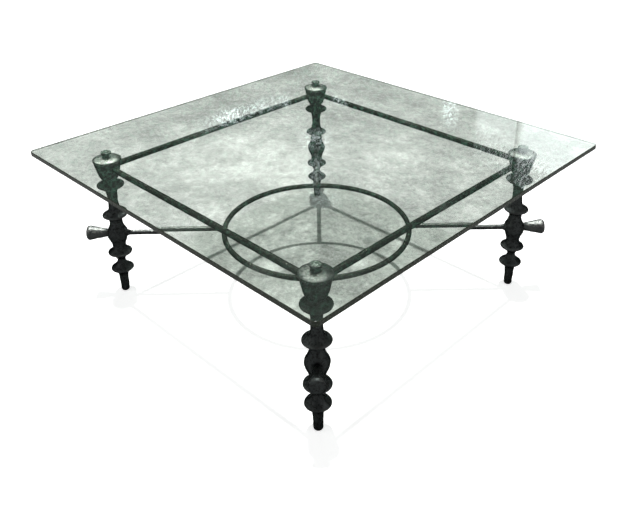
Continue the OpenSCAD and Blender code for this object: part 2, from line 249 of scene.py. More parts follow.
lip_worn = LIP_WORN * np.exp(-((cup_z - MOUTH_Z + LIP_R) / LIP_WEAR_H) ** 2) * (cup_r > 31)
fade = np.clip((cup_r - CUP_FADE_R) / CUP_FADE_OVER, 0, 1) * np.clip((MOUTH_Z - cup_z) / MOUTH_FADE, 0, 1)
for number, corner in enumerate(CORNERS):
    grid = turned(cup_r, cup_z, CUP_SIDES, 31 + number, CUP_WAVE, fade)
    dress(skin("cup_" + corner + "_iron", at_corner(grid, corner), wear_and_sheen=lip_worn),
          "cup_" + corner, "base", iron)

# The four lids. Each is a low iron dome with an upright edge, and a step below that centres it in
# its cup. The bearer's shank clamps it down.
LID_R, LID_EDGE, LID_RISE, LAND_R = 37.3, 2.5, 5.5, 12.0
LID_SIDES, LID_WAVE, LID_FADE_R, LID_FADE_OVER = 96, 0.22, 36.7, 6.0
DOME_FROM_R = LID_R - 0.3
LAND_Z = MOUTH_Z + LID_EDGE + LID_RISE
climb = np.linspace(0, 1, 26)
lid_r = np.concatenate([
    [4.0, 26.6, 27.0, 27.0, 27.2, 36.4, 36.9, 37.2, 37.3, 37.3, 37.2],
    DOME_FROM_R - (DOME_FROM_R - LAND_R) * climb, [11.0, 3.0]])
lid_z = MOUTH_Z + np.concatenate([
    [-4.0, -4.0, -3.6, -0.2, 0.0, 0.0, 0.12, 0.45, 0.9, 2.0, 2.35],
    LID_EDGE + 0.06 + (LID_RISE - 0.06) * (1 - (1 - climb) ** 2), [8.0, 8.0]])
on_dome = (lid_z > MOUTH_Z + LID_EDGE) * (lid_r > LAND_R)
# paler metal over the dome out to near its rim, where the highlights fall: partly wear, partly a painted
# sheen
dome_wear_and_sheen = (0.15 + 0.8 * np.clip((35.5 - lid_r) / 4, 0, 1)) * on_dome
# the dome's waves go up and down, and fade out towards its rim and the land that the bearer seats on
fade = np.clip((LID_FADE_R - lid_r) / LID_FADE_OVER, 0, 1) * (lid_z > MOUTH_Z + 3) * (lid_r > 13)
# each dome's paler metal, partly wear and partly a painted sheen where its highlight falls: how
# much, the compass angle in degrees of the side where it is strongest, and how far that reaches
DOME_WEAR_AND_SHEEN = {"front": (0.75, -90, 0.6), "right": (1.0, -46, 0.6),
             "back": (2.6, -80, -0.1), "left": (2.6, -46, -0.1)}
for number, corner in enumerate(CORNERS):
    grid = turned(lid_r, lid_z, LID_SIDES)
    about, out = np.arctan2(grid[..., 1], grid[..., 0]), np.hypot(grid[..., 0], grid[..., 1])
    grid[..., 2] += waves(about, out, 51 + number, LID_WAVE) * fade[:, None]
    grid = at_corner(grid, corner)
    share, sheen_side, reach = DOME_WEAR_AND_SHEEN[corner]
    side_x, side_y = CORNERS[corner]
    compass = np.arctan2(grid[..., 1] - side_y * POST_AT, grid[..., 0] - side_x * POST_AT)
    # the paler metal is strongest on one side of each dome and fades round it: a painted sheen where the
    # highlight falls
    sheen_side_share = np.clip(reach + 0.9 * np.cos(compass - np.radians(sheen_side)), 0.02, 1)
    dress(skin("lid_" + corner + "_iron", grid, wear_and_sheen=dome_wear_and_sheen[:, None] * sheen_side_share * share),
          "lid_" + corner, "base", iron)

# The four bearers. Each is a flat mushroom head on a short stem, forged in one with the screwed
# shank that holds lid and cup on the post. The glass lies on their heads.
STEM_H, HEAD_H, HEAD_WEAR_AND_SHEEN = 9.7, 4.5, 0.1
BEARER_SIDES, STEM_WAVE, STEM_FADE_R, STEM_FADE_OVER = 64, 0.2, 13.3, 2.0
HEAD_Z = LAND_Z + STEM_H
bearer_r = np.array([3.0, 10.45, 10.95, 10.55, 10.3, 10.25, 10.25, 10.25, 10.4, 10.85, 12.0, 12.9,
                     13.45, 13.71, 13.75, 13.68, 13.4, 12.9, 12.4, 10.5, 3.0])
bearer_z = LAND_Z + np.array([0.0, 0.0, 0.35, 0.9, 1.8, 3.0, 4.8, 7.4, 8.8, 9.4, 9.7, 9.82,
                              10.15, 10.7, 12.5, 13.2, 13.8, 14.1, 14.2, 14.2, 14.2])
# the head's upper edge and top get a little paler metal: partly wear, partly a painted sheen
head_wear_and_sheen = HEAD_WEAR_AND_SHEEN * (bearer_z > HEAD_Z + 3.5)
fade = np.clip((STEM_FADE_R - bearer_r) / STEM_FADE_OVER, 0, 1) * (bearer_z < HEAD_Z)
for number, corner in enumerate(CORNERS):
    grid = turned(bearer_r, bearer_z, BEARER_SIDES, 71 + number, STEM_WAVE, fade)
    dress(skin("bearer_" + corner + "_iron", at_corner(grid, corner), wear_and_sheen=head_wear_and_sheen),
          "bearer_" + corner, "base", iron)

# The four rails. Each is a plain round iron bar just under the glass, drawn out by hand, so that it
# bows by a fraction of a millimetre. Its ends are held in two cups.
RAIL_R, RAIL_Z, RAIL_HALF = 8.0, 383.6, 381.5
RAIL_SIDES, RAIL_WAVE, RAIL_BOW, BOW_SETTLE, RAIL_WEAR_AND_SHEEN = 40, 0.2, 0.5, 0.2, 0.05
BAR_DRAWN = 2.2
RAILS = {"front_left": (0, -1), "front_right": (1, 0), "back_right": (0, 1), "back_left": (-1, 0)}
bar_iron = wrought_iron("Wrought iron bar, oiled darker", "#0f130e", "#1e241d")


def bar(radius, along, sides, seed, high):
    """A round bar along X: a radius at each distance, plus the waves of hand work, 2.2 times as
    long as on a turned piece."""
    turn = np.linspace(0, 2 * np.pi, sides, endpoint=False)[None, :]
    radius, along = radius[:, None], along[:, None]
    radius = radius + waves(turn + 0 * radius, along / BAR_DRAWN + 0 * turn, seed, high)
    return np.stack([along + 0 * turn, radius * np.cos(turn), radius * np.sin(turn)], -1)


def top_wear_and_sheen(points, middle, radius, share):
    """Paler metal on the upper side of a round bar, partly wear and partly a painted sheen where light from
    above catches it: none below three tenths of its radius, full at seven.
    """
    return share * np.clip(((points[..., 2] - middle) / radius - 0.3) / 0.4, 0, 1)


rail_along = np.linspace(-RAIL_HALF, RAIL_HALF, 170)
for number, (side, (side_x, side_y)) in enumerate(RAILS.items()):
    grid = bar(np.full(len(rail_along), RAIL_R), rail_along, RAIL_SIDES, 91 + number, RAIL_WAVE)
    bow = RAIL_BOW * np.cos(np.pi * rail_along / (2 * RAIL_HALF) * (1 + number % 2)) - BOW_SETTLE
    grid[..., 2] += bow[:, None] + RAIL_Z
    # paler metal along the rail's upper side: partly wear, partly a painted sheen
    wear_and_sheen_points = top_wear_and_sheen(grid, RAIL_Z, RAIL_R, RAIL_WEAR_AND_SHEEN)
    if side_x:
        grid = np.stack([-grid[..., 1], grid[..., 0], grid[..., 2]], -1)
    grid[..., 0] += side_x * POST_AT
    grid[..., 1] += side_y * POST_AT
    dress(skin("rail_" + side + "_iron", grid, wear_and_sheen=wear_and_sheen_points),
          "rail_" + side, "base", bar_iron)

# The middle ring. A round iron bar bent to a hoop and forge welded. The four stretchers are
# tenoned and brazed into it.
RING_R, RING_BAR_R, RING_WAVE, RING_OVAL, RING_WEAR_AND_SHEEN = 256.0, 7.25, 0.16, 0.6, 0.06
about = np.linspace(0, 2 * np.pi, 360, endpoint=False)[:, None]
turn = -np.linspace(0, 2 * np.pi, 32, endpoint=False)[None, :]
# the hand work fades out at the weld, and a hoop bent by hand is oval by about half a millimetre
hand_work = waves(turn + 0 * about, RING_R * about / BAR_DRAWN + 0 * turn, 107, RING_WAVE)
hoop = RING_BAR_R + hand_work * np.sin(about / 2) ** 0.25
out = RING_R + RING_OVAL * np.sin(2 * about + 0.6) * np.sin(2 * about) ** 2 + hoop * np.cos(turn)
ring = np.stack([out * np.cos(about), out * np.sin(about), HUB_Z + hoop * np.sin(turn)], -1)
# the ring's upper side is paler metal: partly wear, partly a painted sheen
dress(skin("ring_iron", ring, shut=False, wear_and_sheen=top_wear_and_sheen(ring, HUB_Z, RING_BAR_R, RING_WEAR_AND_SHEEN)),
      "centre_ring", "base", bar_iron)

# The four stretchers. Each is a round bar from the hub to the ring: a collar that swells out to
# seat on the hub's land, and a small fillet of braze where it meets the ring.
BAR_R, COLLAR_R, COLLAR_L = 6.9, 13.0, 14.0
BAR_SIDES, BAR_WAVE, BRAZE_H, BRAZE_HALF = 48, 0.15, 0.95, 2.6
# each stretcher's share of paler metal on its upper side: partly wear, partly a painted sheen
BAR_WEAR_AND_SHEEN = {"front": 0.35, "right": 0.35, "back": 0.35, "left": 0.6}
RING_FROM_POST = POST_AT * np.sqrt(2) - RING_R
run = np.concatenate([HUB_LAND + COLLAR_L * np.linspace(0, 1, 22) ** 1.3,
                      np.linspace(42, RING_FROM_POST - 1, 100)])
swell = np.clip(1 - (run - HUB_LAND) / COLLAR_L, 0, 1) ** 2.2
braze = BRAZE_H * np.exp(-((run - (RING_FROM_POST - RING_BAR_R + 0.4)) / BRAZE_HALF) ** 2)
bar_r = BAR_R + (COLLAR_R - BAR_R) * swell + braze
for number, corner in enumerate(CORNERS):
    grid = bar(bar_r, run, BAR_SIDES, 121 + number, BAR_WAVE)
    grid[..., 2] += HUB_Z
    # paler metal along the bar's upper side past the collar: partly wear, partly a painted sheen
    wear_and_sheen_points = top_wear_and_sheen(grid, HUB_Z, BAR_R, BAR_WEAR_AND_SHEEN[corner]) * (swell == 0)[:, None]
    dress(skin("stretcher_" + corner + "_iron", at_corner(grid, corner), wear_and_sheen=wear_and_sheen_points),
          "stretcher_" + corner, "base", iron)

# The four finials. Each is a small iron cone screwed on the stretcher's end outside the hub: it
# flares steadily outwards, then rounds in to a low domed end.
FLARE_L, END_R, BASE_R, END_ROUND, END_DEEP = 51.0, 20.4, 10.5, 6.0, 8.0
FINIAL_SIDES, FINIAL_WAVE = 64, 0.35
FINIAL_WEAR_AND_SHEEN = {"front": 0.03, "right": 0.6, "back": 0.6, "left": 0.6}
far = np.linspace(0, 1, 40)
bend = np.linspace(0, np.pi / 2, 12)[1:]
finial_r = np.concatenate([
    [4.0], BASE_R + (END_R - BASE_R) * far ** 1.05,
    END_R - END_ROUND + END_ROUND * np.cos(bend), [12.0, 9.2, 5.0, 2.5]])
finial_out = np.concatenate([
    [0.0], FLARE_L * far, FLARE_L + END_DEEP * np.sin(bend), [59.4, 59.73, 59.88, 59.94]])
fade = np.clip(finial_out / 4, 0, 1) * np.clip((FLARE_L + END_DEEP - finial_out) / 3, 0, 1)
# the base beside the hub and the domed end show no wear and no painted sheen
reached = np.clip(finial_out / 20, 0, 1) * (finial_out < 57)
for number, corner in enumerate(CORNERS):
    grid = turned(finial_r, finial_out, FINIAL_SIDES, 141 + number, FINIAL_WAVE, fade)
    grid = np.stack([-HUB_LAND - grid[..., 2], grid[..., 0], HUB_Z - grid[..., 1]], -1)
    share = FINIAL_WEAR_AND_SHEEN[corner]
    # a little paler metal all round, and more along the top: partly wear, partly a painted sheen
    wear_and_sheen_points = (0.3 * share + top_wear_and_sheen(grid, HUB_Z, finial_r[:, None], share)) * reached[:, None]
    dress(skin("finial_" + corner + "_iron", at_corner(grid, corner), wear_and_sheen=wear_and_sheen_points),
          "finial_" + corner, "base", iron)

# The four clear bumpers. Soft vinyl discs between each bearer's head and the glass, die cut, with
# a slightly rounded edge.
HEAD_TOP, DISC_SIDES = HEAD_Z + HEAD_H, 48
disc_r = np.array([2.0, 9.6, 10.1, 10.4, 10.5, 10.5, 10.4, 10.1, 9.6, 2.0])
disc_z = HEAD_TOP + np.array([0.02, 0.02, 0.08, 0.25, 0.5, 0.98, 1.22, 1.4, 1.46, 1.46])


def clear_vinyl():
    """Soft clear vinyl, moulded in sheet and die cut. It shows as a wet looking disc on the dark
    iron, a little paler than it and milky where it has aged."""
    finish, tree = blank_finish("Soft clear vinyl, die cut")
    place = add(tree, "ShaderNodeTexCoord").outputs["Object"]
    # milky patches about 4 mm across
    age = add(tree, "ShaderNodeTexNoise", {"Vector": place, "Scale": 260, "Detail": 2})
    tint = add(tree, "ShaderNodeMix", {
        "Factor": age.outputs["Fac"], 6: linear("#869a8e"), 7: linear("#b0c2b7")}, data_type="RGBA")
    rough = add(tree, "ShaderNodeMapRange", {0: age.outputs["Fac"], 1: 0.3, 2: 0.7, 3: 0.12, 4: 0.3})
    vinyl = add(tree, "ShaderNodeBsdfPrincipled", {
        "Base Color": tint.outputs[2], "Roughness": rough.outputs[0], "IOR": 1.53,
        "Transmission Weight": 0.82})
    add(tree, "ShaderNodeOutputMaterial", {"Surface": vinyl.outputs[0]})
    return finish


vinyl = clear_vinyl()
discs = [at_corner(turned(disc_r, disc_z, DISC_SIDES), corner) for corner in CORNERS]
bumpers = [skin("bumper_" + corner, grid) for corner, grid in zip(CORNERS, discs)]
with bpy.context.temp_override(active_object=bumpers[0], selected_editable_objects=bumpers,
                               selected_objects=bumpers):
    bpy.ops.object.join()
bumpers[0].name = "bumpers_vinyl"
dress(bumpers[0], "glass_bumpers", "base", vinyl)

# The glass top. One square sheet of plate glass, 1067 mm a side and 12.7 mm thick, with ground
# edges and small round corners. It lies loose on the bumpers and lifts off.
GLASS_HALF, GLASS_T, GLASS_CORNER, BUMPER_T = 533.5, 12.7, 12.0, 1.5
GLASS_Z = HEAD_TOP + BUMPER_T
GLASS_IOR = 1.52


def rounded_square(inward):
    """Points round a square with round corners, drawn in by some mm: each corner is a quarter
    circle of 17 points, and the straight sides lie between them."""
    turn = np.linspace(0, np.pi / 2, 17)[None, :] + np.arange(4)[:, None] * np.pi / 2
    middle = GLASS_HALF - GLASS_CORNER
    centre_x = middle * np.array([1, -1, -1, 1])[:, None]
    centre_y = middle * np.array([1, 1, -1, -1])[:, None]
    radius = GLASS_CORNER - inward[:, None, None]
    x, y = centre_x + radius * np.cos(turn), centre_y + radius * np.sin(turn)
    return x.reshape(len(inward), -1), y.reshape(len(inward), -1)


def lets_light_by(tree, glass):
    """The glass as light finds it: lamps and bounced light go straight through with a faint cast,
    so that the sheet throws hardly any shadow, and every other ray meets the glass itself."""
    through = add(tree, "ShaderNodeBsdfTransparent", {"Color": linear("#f4f6f4")})
    path = add(tree, "ShaderNodeLightPath")
    pane = add(tree, "ShaderNodeMixShader", {
        0: path.outputs["Is Shadow Ray"], 1: glass.outputs[0], 2: through.outputs[0]})
    both = add(tree, "ShaderNodeMixShader", {
        0: path.outputs["Is Diffuse Ray"], 1: pane.outputs[0], 2: through.outputs[0]})
    add(tree, "ShaderNodeOutputMaterial", {"Surface": both.outputs[0]})


def plate_glass():
    """Plate glass, cast, ground and polished, and aged. Polished faces give sharp reflections; the
    sheet has a grey green cast, with cloudy patches of wiped dust and faint drag marks."""
    finish, tree = blank_finish("Plate glass, polished faces")
    place = add(tree, "ShaderNodeTexCoord").outputs["Object"]
    # the cast varies in clouds about 170 mm across and mottles of 22 mm down to specks
    cloud = add(tree, "ShaderNodeTexNoise", {"Vector": place, "Scale": 6, "Detail": 2, "Roughness": 0.55})
    mottle = add(tree, "ShaderNodeTexNoise", {"Vector": place, "Scale": 46, "Detail": 5, "Roughness": 0.75})
    both = add(tree, "ShaderNodeMath", {0: cloud.outputs["Fac"], 1: mottle.outputs["Fac"]}, operation="ADD")
    level = add(tree, "ShaderNodeMapRange", {0: both.outputs[0], 1: 0.7, 2: 1.3, 3: 0.0, 4: 1.0})
    cast = add(tree, "ShaderNodeMix", {
        "Factor": level.outputs[0], 6: linear("#d9dfd8"), 7: linear("#e5ebe4")}, data_type="RGBA")
    # dust wiped across the sheet in streaks of 11 by 71 mm, shown only in a few patches
    drag = add(tree, "ShaderNodeMapping", {"Vector": place, "Rotation": (0, 0, 0.9), "Scale": (14, 90, 1)})
    streak = add(tree, "ShaderNodeTexNoise", {
        "Vector": drag.outputs[0], "Scale": 1, "Detail": 4, "Roughness": 0.7})
    patch = add(tree, "ShaderNodeMapRange", {0: cloud.outputs["Fac"], 1: 0.55, 2: 0.7, 3: 0.0, 4: 1.0})
    dust = add(tree, "ShaderNodeMapRange", {0: streak.outputs["Fac"], 1: 0.5, 2: 0.75, 3: 0.01, 4: 0.12})
    haze = add(tree, "ShaderNodeMath", {0: dust.outputs[0], 1: patch.outputs[0]}, operation="MULTIPLY")
    clear = add(tree, "ShaderNodeMath", {0: 0.985, 1: haze.outputs[0]}, operation="SUBTRACT")
    glass = add(tree, "ShaderNodeBsdfPrincipled", {
        "Base Color": cast.outputs[2], "Roughness": 0.0, "IOR": GLASS_IOR,
        "Transmission Weight": clear.outputs[0]})
    lets_light_by(tree, glass)
    return finish


def ground_edge():
    """The ground edge of plate glass. Seen end on through the whole sheet it is dark grey green,
    with a satin face from the grinding wheel and faint grinding marks along it. Seen from inside
    the sheet it throws all light back, so the far edges stay pale."""
    finish, tree = blank_finish("Plate glass, ground edge")
    place = add(tree, "ShaderNodeTexCoord").outputs["Object"]
    # grinding marks about 6 mm across
    marks = add(tree, "ShaderNodeTexNoise", {"Vector": place, "Scale": 180, "Detail": 4, "Roughness": 0.7})
    face = add(tree, "ShaderNodeMix", {
        "Factor": marks.outputs["Fac"], 6: linear("#1a2018"), 7: linear("#3a4234")}, data_type="RGBA")
    inside = add(tree, "ShaderNodeNewGeometry").outputs["Backfacing"]
    tone = add(tree, "ShaderNodeMix", {"Factor": inside, 6: face.outputs[2], 7: linear("#f2f6f3")},
               data_type="RGBA")
    rough = add(tree, "ShaderNodeMapRange", {0: marks.outputs["Fac"], 1: 0.3, 2: 0.7, 3: 0.16, 4: 0.34})
    glass = add(tree, "ShaderNodeBsdfPrincipled", {
        "Base Color": tone.outputs[2], "Metallic": inside, "Roughness": rough.outputs[0],
        "IOR": GLASS_IOR, "Specular IOR Level": 0.25})
    lets_light_by(tree, glass)
    return finish


inward = np.array([9.0, 1.35, 1.1, 0.1, 0.0, 0.0, 0.1, 1.1, 1.35, 9.0])
height = np.array([0.0, 0.0, 0.1, 1.1, 1.4, GLASS_T - 1.4, GLASS_T - 1.1, GLASS_T - 0.1, GLASS_T, GLASS_T])
sheet_x, sheet_y = rounded_square(inward)
sheet_z = GLASS_Z + height[:, None] + 0 * sheet_x
sheet = skin("glass_sheet", np.stack([sheet_x, sheet_y, sheet_z], -1))
sheet.data.polygons.foreach_set("use_smooth", np.zeros(len(sheet.data.polygons), bool))
dress(sheet, "glass_top", "top", plate_glass())
sheet.data.materials.append(ground_edge())
# all rows of faces but the first and last are the edge, and so are no faces of the two end fans
rows, around = sheet_x.shape
row = np.arange(rows - 1)
on_edge = np.repeat((row > 0) & (row < rows - 2), around)
sheet.data.polygons.foreach_set(
    "material_index", np.concatenate([on_edge, np.zeros(2 * around, bool)]).astype(np.int32))

# The studio: a plain white floor that keeps the table's shadow, a white wall far round it, one
# overhead lamp that the photograph's floor shadows point to, and broad dim panels. Sizes are in
# metres from here on.
STAGE_SIDES, FLOOR_R, WALL_R, WALL_H = 96, 3.0, 9.0, 2.9
CONCRETE_LEVEL, CONCRETE_DARKEST, CONCRETE_PALEST = 0.85, 0.3, 1.7
# patterns of the concrete: turn in radians, cell along and deep in metres, detail, roughness
CONCRETE = {"cloud": (0.0, 0.2380952, 0.2380952, 6, 0.75), "grit": (0.0, 0.02272727, 0.02272727, 5, 1.0),
            "drag": (0.76, 0.11, 0.03, 5, 0.85), "mottle": (0.76, 0.025, 0.042, 5, 0.8),
            "lumps": (0.76, 0.09, 0.15, 3, 0.6)}
CONCRETE_SHARES = {"cloud": 1.2, "grit": 1.7, "drag": 0.5}
# soft pale and dark places of the concrete: where, how wide, and how much paler or darker. The
# first is a painted reflection, a pale patch of mirrored light; the sixth, under the table's
# middle, is painted shade.
TONE_REFLECTION_AND_SHADE_PLACES = [((-0.80, 0.44, 0), 0.46, 0.50), ((-0.49, 0.85, 0), 0.35, 0.14), ((-1.22, 0.72, 0), 0.40, -0.12),
          ((-0.05, 0.62, 0), 0.45, -0.12), ((-1.32, -0.10, 0), 0.55, 0.16), ((-0.10, 0.10, 0), 0.45, -0.36),
          ((-0.168, -0.034, 0), 0.062, 0.7), ((0.010, 0.160, 0), 0.055, 0.7)]


def flat(name, grid, ends):
    """A sheet of faces from a grid of points in metres, wrapped round its columns, and the faces
    in ends, each a list of point numbers."""
    rows, cols = grid.shape[:2]
    row, col = np.arange(rows - 1)[:, None] * cols, np.arange(cols)[None, :]
    after = (col + 1) % cols
    quads = np.stack([row + col, row + after, row + cols + after, row + cols + col], -1)
    mesh = bpy.data.meshes.new(name)
    mesh.from_pydata(grid.reshape(-1, 3).tolist(), [], quads.reshape(-1, 4).tolist() + ends)
    piece = stand(name, mesh)
    return piece


def concrete(tree, place):
    """The floor as the glass shows it, as one number: trowelled pale concrete with clouds about
    0.25 m across, fibrous drag marks that lie across the view, grit of 1 to 2 cm, pale mottles of
    2 to 5 cm where the clouds are light, and a few lumpy pale or dark places, one of them a painted
    reflection and one painted shade under the table's middle."""
    level = {}
    for name, (turn, along, deep, detail, rough) in CONCRETE.items():
        cells = add(tree, "ShaderNodeMapping", {
            "Vector": place, "Rotation": (0, 0, turn), "Scale": (along, deep, 1)}, vector_type="TEXTURE")
        level[name] = add(tree, "ShaderNodeTexNoise", {
            "Vector": cells.outputs[0], "Scale": 1.0, "Detail": detail, "Roughness": rough}).outputs["Fac"]
    # a noise averages a half, so half of the shares comes off and the mean stays at the level
    total = CONCRETE_LEVEL - sum(CONCRETE_SHARES.values()) / 2
    for name, share in CONCRETE_SHARES.items():
        total = add(tree, "ShaderNodeMath", {0: level[name], 1: share, 2: total},
                    operation="MULTIPLY_ADD").outputs[0]
    light = add(tree, "ShaderNodeMath", {0: level["cloud"], 1: level["mottle"]}, operation="ADD")
    light = add(tree, "ShaderNodeMapRange", {0: light.outputs[0], 1: 1.0, 2: 1.3, 3: 0.0, 4: 0.38})
    total = add(tree, "ShaderNodeMath", {0: total, 1: light.outputs[0]}, operation="ADD").outputs[0]
    lumps = add(tree, "ShaderNodeMapRange", {0: level["lumps"], 1: 0.35, 2: 0.65, 3: 0.3, 4: 1.3})
    for middle, wide, high in TONE_REFLECTION_AND_SHADE_PLACES:
        off = add(tree, "ShaderNodeVectorMath", {0: place, 1: middle}, operation="DISTANCE")
        soft = add(tree, "ShaderNodeMapRange", {0: off.outputs["Value"], 1: wide, 2: 0.0, 3: 0.0, 4: high},
                   interpolation_type="SMOOTHSTEP")
        total = add(tree, "ShaderNodeMath", {0: soft.outputs[0], 1: lumps.outputs[0], 2: total},
                    operation="MULTIPLY_ADD").outputs[0]
    return add(tree, "ShaderNodeClamp", {
        "Value": total, "Min": CONCRETE_DARKEST, "Max": CONCRETE_PALEST}).outputs[0]


def stage_paint(name, glow, level, under=False):
    """White stage paint. Seen by the camera it has an added glow, so that it is plain white; for
    the light that it throws on the table it is a pale grey. With under=True the glass shows it as
    pale concrete with the table's shadows, as in the photograph, and gloss sees it grey."""
    finish, tree = blank_finish(name)
    path = add(tree, "ShaderNodeLightPath")
    through, seen = path.outputs["Is Transmission Ray"], path.outputs["Is Camera Ray"]
    if not under:
        # gloss sees about a third of the wall's glow
        gloss = add(tree, "ShaderNodeMath", {0: path.outputs["Is Glossy Ray"], 1: 0.32, 2: seen},
                    operation="MULTIPLY_ADD")
        seen = add(tree, "ShaderNodeMath", {0: gloss.outputs[0], 1: through}, operation="MAXIMUM").outputs[0]
    tone = add(tree, "ShaderNodeMix", {"Factor": seen, 6: (0.5, 0.5, 0.5, 1), 7: (level, level, level, 1)},
               data_type="RGBA")
    if under:
        below = concrete(tree, add(tree, "ShaderNodeTexCoord").outputs["Object"])
        tone = add(tree, "ShaderNodeMix", {"Factor": through, 6: tone.outputs[2], 7: below},
                   data_type="RGBA")
    matt = add(tree, "ShaderNodeBsdfDiffuse", {"Color": tone.outputs[2]})
    strength = add(tree, "ShaderNodeMath", {0: seen, 1: glow}, operation="MULTIPLY")
    lit = add(tree, "ShaderNodeEmission", {"Color": (1, 1, 1, 1), "Strength": strength.outputs[0]})
    both = add(tree, "ShaderNodeAddShader", {0: matt.outputs[0], 1: lit.outputs[0]})
    add(tree, "ShaderNodeOutputMaterial", {"Surface": both.outputs[0]})
    return finish


ring_angle = np.linspace(0, 2 * np.pi, STAGE_SIDES, endpoint=False)
circle = np.stack([np.cos(ring_angle), np.sin(ring_angle)], -1)
on_ground = np.zeros((STAGE_SIDES, 1))
wide, near = np.hstack([circle * WALL_R, on_ground]), np.hstack([circle * FLOOR_R, on_ground])
floor = flat("floor", np.stack([wide, near]), [list(range(STAGE_SIDES, 2 * STAGE_SIDES))])
floor.data.materials.append(stage_paint("White studio floor", 0.72, 0.86, True))
high = np.hstack([circle * WALL_R, on_ground + WALL_H])
backdrop = flat("backdrop", np.stack([wide, high]), [])
backdrop.data.materials.append(stage_paint("White studio wall", 1.0, 0.1))


def facing(place, back, roll=0.0):
    """The place and turn of a lamp or camera whose back points along back: its X axis lies level,
    and then both X and Y are rolled about the line of sight by an angle in radians."""
    back = np.array(back, float) / np.linalg.norm(back)
    side = np.cross((0, 0, 1.0), back)
    side /= np.linalg.norm(side)
    up = np.cross(back, side)
    side, up = np.cos(roll) * side + np.sin(roll) * up, np.cos(roll) * up - np.sin(roll) * side
    return Matrix(np.vstack([np.column_stack([side, up, back, place]), [0, 0, 0, 1]]).tolist())


def lamp(name, kind, place, toward, energy, size, tall=None):
    """A lamp at place, in metres, that faces toward. A spot's size is its cone in degrees, and the
    sun's its width in radians."""
    light = bpy.data.lights.new(name, kind)
    light.energy = energy
    if kind == "SUN":
        light.angle = size
    elif kind == "SPOT":
        light.spot_size, light.spot_blend, light.shadow_soft_size = np.radians(size), 0.4, 0.07
    else:
        light.shape, light.size, light.size_y = "RECTANGLE", size, tall
    holder = stand(name, light)
    holder.matrix_world = facing(place, np.subtract(place, toward))
    holder.visible_camera = False
    return holder


lamp("overhead lamp", "SUN", (-0.34, 0.23, 2.6), (0, 0, 0), 2.5, 0.025)
lamp("ceiling panel", "AREA", (-1.8, 1.55, 4.8), (0, 0, 0.4), 18.0, 3.4, 3.4).visible_glossy = False
lamp("front left panel", "AREA", (-1.2, -2.6, 2.2), (0, 0, 0.3), 13.0, 1.8, 1.4)
lamp("front right panel", "AREA", (2.8, 0.6, 2.3), (0, 0, 0.3), 13.0, 1.8, 1.4)
# a skylight and three spots that only show in gloss: they make the bright places on the lids
lamp("skylight", "AREA", (-2.05, 1.85, 3.90), (0, 0, 0.4), 72.0, 0.6, 0.6).visible_diffuse = False
SPARKS = {"left": ((-0.78, -0.22, 1.09), 120.0), "back": ((-0.71, 0.67, 1.09), 150.0),
          "right": ((0.233, 0.785, 1.09), 50.0)}
DOME_TOP = 0.41
for corner, (place, energy) in SPARKS.items():
    side_x, side_y = CORNERS[corner]
    dome = (side_x * POST_AT * 0.001, side_y * POST_AT * 0.001, DOME_TOP)
    lamp(corner + " lid spark", "SPOT", place, dome, energy, 10.0).visible_diffuse = False

# What the glass mirrors: leaves with light between them, and a window of two lights at its right
# corner. Each is a card on an upright plane: the plane's compass angle in degrees and distance in
# metres, the card's place along it and height, half its width and height, its lean, its strength.
LEAVES = [(135, 2.9, 0.52, 1.46, 0.34, 0.065, 0.33, 4.4), (135, 2.9, 0.60, 1.48, 0.13, 0.08, 0.2, 4.0),
          (135, 2.9, 0.22, 1.385, 0.05, 0.05, 0.0, 3.6), (135, 2.9, -0.15, 1.38, 0.06, 0.045, -0.5, 3.6),
          (135, 2.9, -0.90, 1.45, 0.07, 0.15, -0.4, 4.6), (135, 2.9, 0.02, 1.66, 0.13, 0.09, 0.0, 3.4),
          (135, 2.9, 0.02, 1.90, 0.09, 0.14, 0.0, 2.4), (135, 2.9, -0.03, 2.13, 0.14, 0.10, 0.0, 3.0)]
WINDOW = [(66, 2.6, 2.075, 1.76, 0.50, 0.46, 0.0, 3.1), (66, 2.6, 2.87, 1.85, 0.28, 0.39, 0.0, 1.4)]
CARD_POINTS, WINDOW_EDGE = 13, 0.17


def glow_only(tree, colour, pattern):
    """Light of one colour on an otherwise clear card, by the pattern times the card's own fade."""
    fade = add(tree, "ShaderNodeAttribute", attribute_name="fade", attribute_type="GEOMETRY").outputs["Fac"]
    share = add(tree, "ShaderNodeMath", {0: pattern.outputs[0], 1: fade}, operation="MULTIPLY")
    glow = add(tree, "ShaderNodeEmission", {"Color": linear(colour), "Strength": share.outputs[0]})
    clear = add(tree, "ShaderNodeBsdfTransparent", {"Color": (1, 1, 1, 1)})
    both = add(tree, "ShaderNodeAddShader", {0: glow.outputs[0], 1: clear.outputs[0]})
    add(tree, "ShaderNodeOutputMaterial", {"Surface": both.outputs[0]})


def leaf_light():
    """Light between leaves: specks of 1 to 2 cm in soft clumps, clear elsewhere, and faded to
    nothing at the patch's border."""
    finish, tree = blank_finish("Sunlit leaves")
    place = add(tree, "ShaderNodeTexCoord").outputs["Object"]
    specks = add(tree, "ShaderNodeTexNoise", {"Vector": place, "Scale": 52, "Detail": 5, "Roughness": 0.9})
    lit = add(tree, "ShaderNodeMapRange", {0: specks.outputs["Fac"], 1: 0.47, 2: 0.59, 3: 0.0, 4: 1.0})
    glow_only(tree, "#e6f6f6", lit)
    return finish


